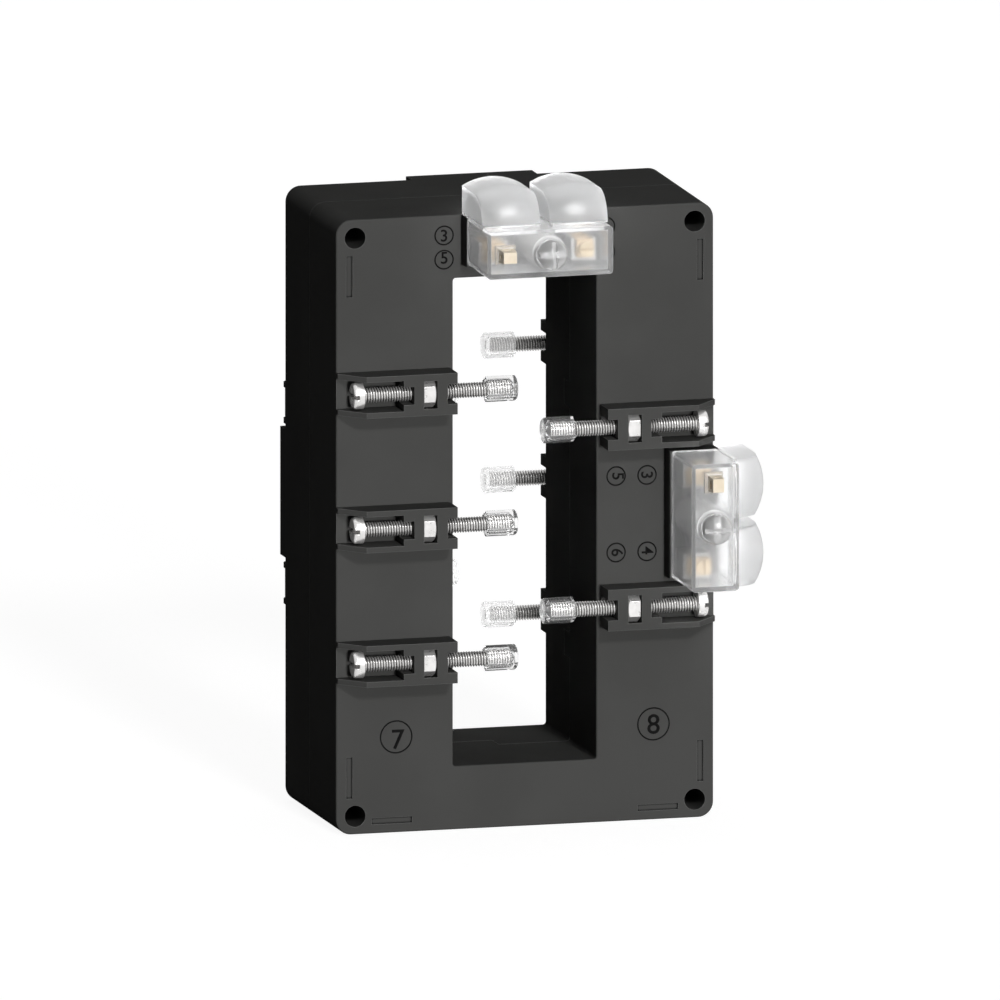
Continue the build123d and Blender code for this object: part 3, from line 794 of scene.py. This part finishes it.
@dataclass
class ClampScrew:
    """A slotted screw with its thread, in place of the plain one."""

    station: str
    pitch: float = 0.7 * MM
    crest: float = 2.0 * MM
    root: float = 1.62 * MM
    head_height: float = 2.6 * MM
    tip_taper: float = 0.5 * MM
    overlap: float = 0.05 * MM
    steps: int = 28
    head_weld: float = 1e-6
    thread_weld: float = 2e-6
    end_normal: float = 0.999

    @property
    def node(self) -> str:
        """Name of the plain screw."""
        return f"{SCREW_NODE}{self.station}"

    def head(self, along: Vector, end: Vector) -> bmesh.types.BMesh:
        """The plain screw's own head, cut off just below its underside.

        Args:
            along: Direction from the head to the tip.
            end: Middle of the head's underside.

        Returns:
            A closed bmesh.
        """
        plain = bpy.data.objects[self.node]
        mesh_work = bmesh.new()
        mesh_work.from_mesh(plain.data)
        bmesh.ops.remove_doubles(mesh_work, verts=mesh_work.verts, dist=self.head_weld)
        cut_and_close(mesh_work, end + along * self.overlap, along)
        return mesh_work

    def profile(self) -> tuple[tuple[float, float], ...]:
        """Share of the pitch and radius of one turn's corners."""
        return (0.0, self.root), (0.18, self.root), (0.55, self.crest), (0.67, self.crest)

    def thread(self, length: float) -> bmesh.types.BMesh:
        """Thread along X from 0 to a length.

        Args:
            length: Length of the threaded shank.

        Returns:
            A closed bmesh.
        """
        mesh_work = bmesh.new()
        # Depth into the groove, from 0 at the crest to 1 at the root, where the finish paints
        # shade.
        groove = mesh_work.verts.layers.float.new(GROOVE)
        line = []
        for turn in range(-1, int(length / self.pitch) + 2):
            for share, radius in self.profile():
                vert = mesh_work.verts.new(((turn + share) * self.pitch, radius, 0))
                vert[groove] = (self.crest - radius) / (self.crest - self.root)
                line.append(vert)
        edges = [mesh_work.edges.new(pair) for pair in zip(line, line[1:])]
        bmesh.ops.spin(mesh_work, geom=[*line, *edges], cent=(0, 0, 0), axis=(1, 0, 0),
                       dvec=(self.pitch / self.steps, 0, 0), angle=2 * math.pi, steps=self.steps,
                       use_merge=False)
        bmesh.ops.remove_doubles(mesh_work, verts=mesh_work.verts, dist=self.thread_weld)
        cut_and_close(mesh_work, Vector((0, 0, 0)), Vector((-1, 0, 0)))
        cut_and_close(mesh_work, Vector((length, 0, 0)), Vector((1, 0, 0)))
        for vert in mesh_work.verts:
            limit = self.crest - self.tip_taper + (length - vert.co.x)
            radius = vert.co.yz.length
            if radius > limit:
                vert.co.yz *= limit / radius
        return mesh_work

    def build(self, wardrobe: Wardrobe) -> Object:
        """Make the screw and hide the plain one.

        Args:
            wardrobe: Finishes to dress it with.

        Returns:
            The threaded screw.
        """
        low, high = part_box(self.node)
        left = "left" in self.station
        along = Vector((1 if left else -1, 0, 0))
        middle = (low + high) / 2
        start = Vector((low.x if left else high.x, middle.y, middle.z)) + along * self.head_height
        tip = high.x if left else low.x
        length = abs(tip - start.x) + self.overlap
        whole = self.head(along, start)
        thread = self.thread(length)
        origin = start - along * self.overlap
        turn = Matrix.Identity(4) if left else Matrix.Rotation(math.pi, 4, "Z")
        thread.transform(Matrix.Translation(origin) @ turn)
        holder = bpy.data.meshes.new(f"{self.station}_thread")
        thread.to_mesh(holder)
        thread.free()
        whole.from_mesh(holder)
        bpy.data.meshes.remove(holder)
        piece = publish(f"threaded_screw_{self.station}", whole)
        for side in piece.data.polygons:
            side.use_smooth = abs(side.normal.x) < self.end_normal
        wardrobe.dress(piece, Look.THREAD)
        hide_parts(self.node)
        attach(piece, f"{self.station}_screw")
        return piece


@dataclass(frozen=True)
class Mark:
    """One moulded ring with a numeral, placed on the front face."""

    name: str
    numeral: str
    x: float
    z: float
    diameter: float = 5.2 * MM
    turn: float = 0.0


@dataclass
class FaceMarkings:
    """Rings with plain numerals, moulded proud of the front face."""

    marks: tuple[Mark, ...] = (
        Mark("lower_left", "7", -34.1 * MM, 24.9 * MM, diameter=8.7 * MM),
        Mark("lower_right", "8", 34.1 * MM, 24.9 * MM, diameter=8.7 * MM),
        Mark("top_left_outer", "3", -21.4 * MM, 154.8 * MM),
        Mark("top_left_inner", "5", -21.4 * MM, 148.5 * MM),
        Mark("top_right_outer", "4", 21.4 * MM, 155.0 * MM),
        Mark("top_right_inner", "6", 21.4 * MM, 148.5 * MM),
        Mark("side_upper_inner", "5", 24.2 * MM, 89.9 * MM, turn=-math.pi / 2),
        Mark("side_upper_outer", "3", 32.4 * MM, 89.8 * MM, turn=-math.pi / 2),
        Mark("side_lower_inner", "6", 24.2 * MM, 70.0 * MM, turn=-math.pi / 2),
        Mark("side_lower_outer", "4", 32.4 * MM, 69.9 * MM, turn=-math.pi / 2),
    )
    height: float = 0.2 * MM
    line: float = 0.40 * MM
    sunk: float = 0.05 * MM
    lean_share: float = 0.2
    numeral_share: float = 0.837
    embolden: float = 0.03 * MM
    steps: int = 40
    numeral_steps: int = 4

    def ring(self, mark: Mark) -> bmesh.types.BMesh:
        """Ring of one mark about the Y axis.

        Args:
            mark: The mark.

        Returns:
            A closed bmesh.
        """
        mesh_work = bmesh.new()
        outer = mark.diameter / 2
        inner = outer - self.line
        lean = self.line * self.lean_share
        corners = ((outer, self.sunk), (outer - lean, -self.height),
                   (inner + lean, -self.height), (inner, self.sunk))
        line = [mesh_work.verts.new((x, y, 0)) for x, y in corners]
        edges = [mesh_work.edges.new(pair) for pair in zip(line, line[1:] + line[:1])]
        bmesh.ops.spin(mesh_work, geom=[*line, *edges], cent=(0, 0, 0), axis=(0, 1, 0),
                       angle=2 * math.pi, steps=self.steps, use_merge=True)
        bmesh.ops.remove_doubles(mesh_work, verts=mesh_work.verts, dist=WELD)
        return mesh_work

    def numeral(self, mark: Mark) -> bmesh.types.BMesh:
        """Numeral of one mark, upright in X and Z about the origin.

        Args:
            mark: The mark.

        Returns:
            A bmesh.
        """
        text = bpy.data.curves.new(f"{mark.name}_numeral", "FONT")
        text.body = mark.numeral
        text.align_x = "CENTER"
        text.align_y = "CENTER"
        text.size = mark.diameter * self.numeral_share
        text.extrude = (self.height + self.sunk) / 2
        text.offset = self.embolden
        text.resolution_u = self.numeral_steps
        holder = bpy.data.objects.new(text.name, text)
        bpy.context.scene.collection.objects.link(holder)
        mesh = bpy.data.meshes.new_from_object(holder)
        mesh_work = bmesh.new()
        mesh_work.from_mesh(mesh)
        bpy.data.objects.remove(holder)
        bpy.data.curves.remove(text)
        bpy.data.meshes.remove(mesh)
        bmesh.ops.remove_doubles(mesh_work, verts=mesh_work.verts, dist=WELD)
        centre = sum((vert.co for vert in mesh_work.verts), Vector()) / len(mesh_work.verts)
        lift = Vector((0, (self.sunk - self.height) / 2, 0))
        upright = Matrix.Rotation(math.pi / 2, 4, "X")
        mesh_work.transform(Matrix.Translation(lift) @ upright @ Matrix.Translation(-centre))
        return mesh_work

    def build(self, wardrobe: Wardrobe) -> list[Object]:
        """Make every ring and numeral.

        Args:
            wardrobe: Finishes to dress them with.

        Returns:
            The new pieces.
        """
        pieces = []
        for mark in self.marks:
            spot = Matrix.Translation((mark.x, FACE_Y, mark.z))
            place = spot @ Matrix.Rotation(-mark.turn, 4, "Y")
            for kind, mesh_work in (("ring", self.ring(mark)), ("numeral", self.numeral(mark))):
                mesh_work.transform(place)
                piece = publish(f"{kind}_{mark.name}", mesh_work)
                # The marks' near-black finish is painted shade.
                wardrobe.dress(piece, Look.MARK)
                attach(piece, "housing")
                pieces.append(piece)
        return pieces


@dataclass
class Casework:
    """The CAD pieces that keep their shape, each with the finish of its record slot."""

    record: dict
    nodes: dict[str, Object]

    def dress(self, wardrobe: Wardrobe) -> int:
        """Dress every CAD piece.

        Args:
            wardrobe: Finishes to dress them with.

        Returns:
            How many pieces were dressed.
        """
        slots = {entry["node"]: entry["material_slot"] for entry in self.record["subparts"]}
        for name, piece in self.nodes.items():
            own = [look for part, look in PIECE_LOOKS.items() if part in name]
            wardrobe.dress(piece, own[0] if own else SLOT_LOOKS[Slot(slots[name])])
        return len(self.nodes)


@dataclass(frozen=True)
class Sun:
    """One broad light, given by the direction towards it, that may light or only shine."""

    name: str
    towards: tuple[float, float, float]
    share: float
    spread: float
    lights: bool = True
    shines: bool = True

    def build(self) -> None:
        """Add the light; a share of 1 shows a facing surface's colour as written."""
        data = bpy.data.lights.new(self.name, "SUN")
        data.energy = self.share * math.pi
        data.angle = math.radians(self.spread)
        light = bpy.data.objects.new(self.name, data)
        light.rotation_mode = "QUATERNION"
        light.rotation_quaternion = Vector(self.towards).to_track_quat("Z", "Y")
        light.visible_diffuse = self.lights
        light.visible_glossy = self.shines
        light.visible_transmission = self.shines
        bpy.context.scene.collection.objects.link(light)


@dataclass
class Studio:
    """Floor, world, lights and camera."""

    azimuth: float = -15.2
    elevation: float = 10.7
    view_width: float = 0.2558
    aim: tuple[float, float, float] = (0.00021, 0.0, 0.0803)
    distance: float = 1.2
    floor_half: float = 3.0
    floor_drop: float = 0.02 * MM
    floor_tone: Rgb = (0.24, 0.24, 0.24)
    floor_glow: float = 0.92
    ambient: float = 0.065
    suns: tuple[Sun, ...] = (
        Sun("upper_front", (0.05, -0.87, 0.48), 0.30, 7.0, shines=False),
        Sun("level_front", (0.06, -0.99, 0.07), 0.70, 7.0, shines=False),
        Sun("soft_box", (0.07, -0.80, 0.60), 1.10, 30.0, lights=False),
        Sun("edge_light", (-0.86, -0.48, 0.15), 0.20, 14.0, lights=False),
        Sun("level_back", (0.30, 0.95, 0.0), 0.40, 3.0, shines=False),
        Sun("overhead", (0.0, 0.20, 0.98), 0.11, 30.0),
    )

    @staticmethod
    def seen(sheet: Sheet) -> NodeSocket:
        """Mask that is 1 for camera, glossy and transmission rays.

        Args:
            sheet: The sheet to add it to.

        Returns:
            The mask socket.
        """
        path = sheet.add("ShaderNodeLightPath")
        direct = sheet.sum("MAXIMUM", path.outputs["Is Camera Ray"], path.outputs["Is Glossy Ray"])
        return sheet.sum("MAXIMUM", direct, path.outputs["Is Transmission Ray"])

    def world(self) -> None:
        """White to the eye and in reflections, and a soft even light otherwise."""
        world = bpy.data.worlds.new("studio")
        world.use_nodes = True
        sheet = Sheet(world.node_tree)
        sky = sheet.add("ShaderNodeBackground")
        output = sheet.add("ShaderNodeOutputWorld")
        sheet.join(sheet.between(self.ambient, 1.0, self.seen(sheet)), sky.inputs["Strength"])
        sheet.join(sky.outputs["Background"], output.inputs["Surface"])
        sky.inputs["Color"].default_value = (1.0, 1.0, 1.0, 1.0)
        bpy.context.scene.world = world

    def floor(self) -> None:
        """Pale floor that looks white and keeps the object's shadow."""
        mesh_work = bmesh.new()
        bmesh.ops.create_grid(mesh_work, x_segments=1, y_segments=1, size=self.floor_half,
                              matrix=Matrix.Translation((0, 0, -self.floor_drop)))
        floor = publish("floor", mesh_work, smooth=False)
        material = bpy.data.materials.new("floor_paper")
        material.use_nodes = True
        sheet = Sheet(material.node_tree)
        paper = sheet.add("ShaderNodeBsdfDiffuse")
        paper.inputs["Color"].default_value = (*self.floor_tone, 1.0)
        glow = sheet.add("ShaderNodeEmission")
        strength = sheet.sum("MULTIPLY", self.seen(sheet), self.floor_glow)
        sheet.join(strength, glow.inputs["Strength"])
        both = sheet.add("ShaderNodeAddShader")
        output = sheet.add("ShaderNodeOutputMaterial")
        sheet.join(paper.outputs[0], both.inputs[0])
        sheet.join(glow.outputs[0], both.inputs[1])
        sheet.join(both.outputs[0], output.inputs["Surface"])
        floor.data.materials.append(material)

    def camera(self) -> None:
        """Parallel view at the photograph's angle."""
        data = bpy.data.cameras.new("camera")
        data.type = "ORTHO"
        data.ortho_scale = self.view_width
        camera = bpy.data.objects.new("camera", data)
        turn, rise = math.radians(self.azimuth), math.radians(self.elevation)
        level = Vector((math.sin(turn), -math.cos(turn), 0.0)) * math.cos(rise)
        back = level + Vector((0.0, 0.0, math.sin(rise)))
        camera.location = Vector(self.aim) + back * self.distance
        camera.rotation_mode = "QUATERNION"
        camera.rotation_quaternion = (-back).to_track_quat("-Z", "Y")
        bpy.context.scene.collection.objects.link(camera)
        bpy.context.scene.camera = camera

    def build(self) -> None:
        """Set up the whole studio."""
        bpy.context.scene.view_settings.view_transform = "Standard"
        self.world()
        self.floor()
        self.camera()
        for sun in self.suns:
            sun.build()


def report(pieces: Iterable[Object]) -> None:
    """Log each new piece with its number of faces."""
    for piece in pieces:
        log.info("%s: %d faces", piece.name, len(piece.data.polygons))


def main() -> None:
    """Load the frame, dress it, add the new pieces and light them."""
    logging.basicConfig(level=logging.INFO, format="%(name)s: %(message)s")
    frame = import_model()
    Studio().build()
    wardrobe = Wardrobe()
    count = Casework(frame["record"], frame["nodes"]).dress(wardrobe)
    log.info("dressed %d pieces", count)
    screws = sorted(name for name in frame["nodes"] if name.startswith(SCREW_NODE))
    report(ClampScrew(name.removeprefix(SCREW_NODE)).build(wardrobe) for name in screws)
    report(FaceMarkings().build(wardrobe))


if __name__ == "__main__":
    main()
